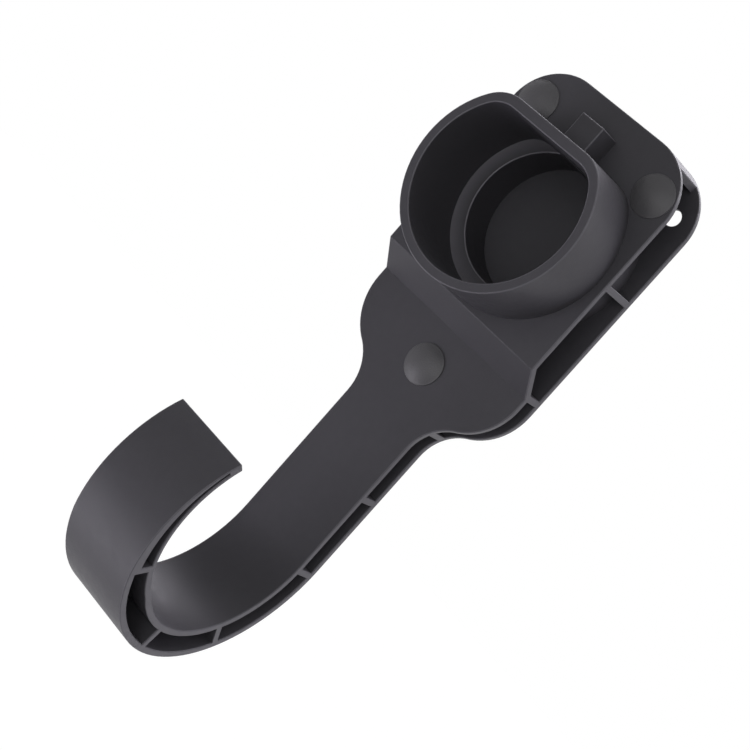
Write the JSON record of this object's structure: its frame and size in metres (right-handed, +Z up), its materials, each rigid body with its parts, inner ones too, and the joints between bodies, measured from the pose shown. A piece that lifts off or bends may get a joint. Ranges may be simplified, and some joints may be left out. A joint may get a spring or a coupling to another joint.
{
  "type": "ev connector holder",
  "caption": "Wall-mounted holder with a D-shaped socket for an EV charging plug, a latch catch, and a ribbed strap that curls into a cable hook.",
  "frame": {"origin": "where the socket axis meets the wall face", "axes": "+Z up along the strap, +Y into the wall, +X to the right seen from the front"},
  "size_m": [0.0848, 0.1078, 0.2654],
  "materials": {
    "body_plastic": "satin charcoal moulding with a fine grain",
    "cap_plastic": "satin charcoal moulding with a fine grain"
  },
  "bodies": {
    "root": {"holder_body": "body_plastic", "screw_cap_left": "cap_plastic", "screw_cap_right": "cap_plastic", "screw_cap_lower": "cap_plastic"}
  },
  "joints": []
}
